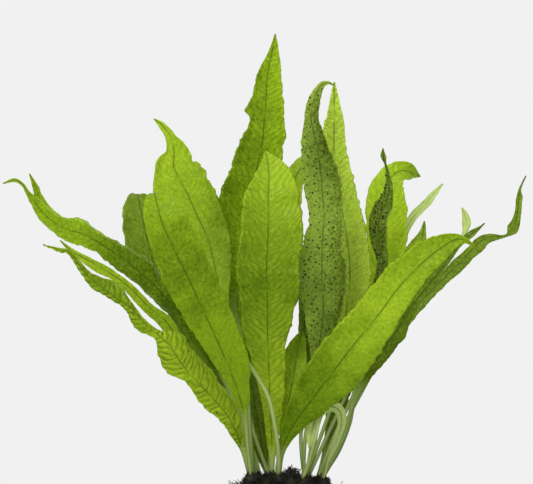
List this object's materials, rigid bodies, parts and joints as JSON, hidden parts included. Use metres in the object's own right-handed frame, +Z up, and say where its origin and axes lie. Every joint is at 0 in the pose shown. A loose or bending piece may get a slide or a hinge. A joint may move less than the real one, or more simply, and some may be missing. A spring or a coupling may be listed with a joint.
{
  "type": "java fern on driftwood",
  "caption": "Tuft of strap-leaved java fern whose creeping rhizomes are held by a dark mat of roots to a small piece of forked driftwood.",
  "frame": {"origin": "on the flat underside of the driftwood, below the middle of the crown, on the surface that the object stands on", "axes": "+Z up, +X to the viewer's right when seen from the front, +Y away from the viewer; the fan of fronds is spread along X"},
  "size_m": [0.2893, 0.1558, 0.294],
  "materials": {
    "blade_bright": "light yellow-green living leaf, translucent, with a soft waxy sheen",
    "blade_mid": "mid-green living leaf, translucent, with a soft waxy sheen",
    "blade_dark": "dark green living leaf, translucent, with a soft waxy sheen",
    "blade_spotted": "older green leaf with dark brown to black spots",
    "rhizome": "green to brown scaly creeping stem",
    "root_mat": "matt, near-black felt of fine roots",
    "driftwood": "matt, water-worn dark brown wood"
  },
  "bodies": {
    "root": {"frond_tall": "blade_mid", "frond_centre": "blade_bright", "frond_front_left": "blade_mid", "frond_left_pale": "blade_bright", "frond_left_round": "blade_dark", "frond_far_left": "blade_mid", "frond_far_left_behind": "blade_bright", "frond_left_middle": "blade_mid", "frond_left_low": "blade_bright", "frond_young_centre": "blade_bright", "frond_bowed_back": "blade_bright", "frond_low_blade": "blade_bright", "frond_right_front": "blade_bright", "frond_spotted_wide": "blade_spotted", "frond_spotted_lobe": "blade_spotted", "frond_light_right": "blade_bright", "frond_spotted_narrow": "blade_spotted", "frond_right_round": "blade_bright", "frond_right_finger": "blade_bright", "frond_right_dark": "blade_dark", "frond_right_twisted": "blade_dark", "frond_right_small": "blade_bright", "frond_far_right": "blade_dark", "frond_arched_low": "blade_bright", "frond_young_right": "blade_bright", "frond_back_left": "blade_mid", "frond_back_left_low": "blade_mid", "frond_back_centre": "blade_bright", "frond_back_inner": "blade_dark", "frond_back_right": "blade_mid", "frond_back_right_low": "blade_dark", "rhizome_left_outer": "rhizome", "rhizome_left_inner": "rhizome", "rhizome_right_inner": "rhizome", "rhizome_right_outer": "rhizome", "root_mat": "root_mat", "driftwood_trunk": "driftwood", "driftwood_fork_front": "driftwood", "driftwood_fork_back": "driftwood", "driftwood_fork_rear": "driftwood"}
  },
  "joints": []
}
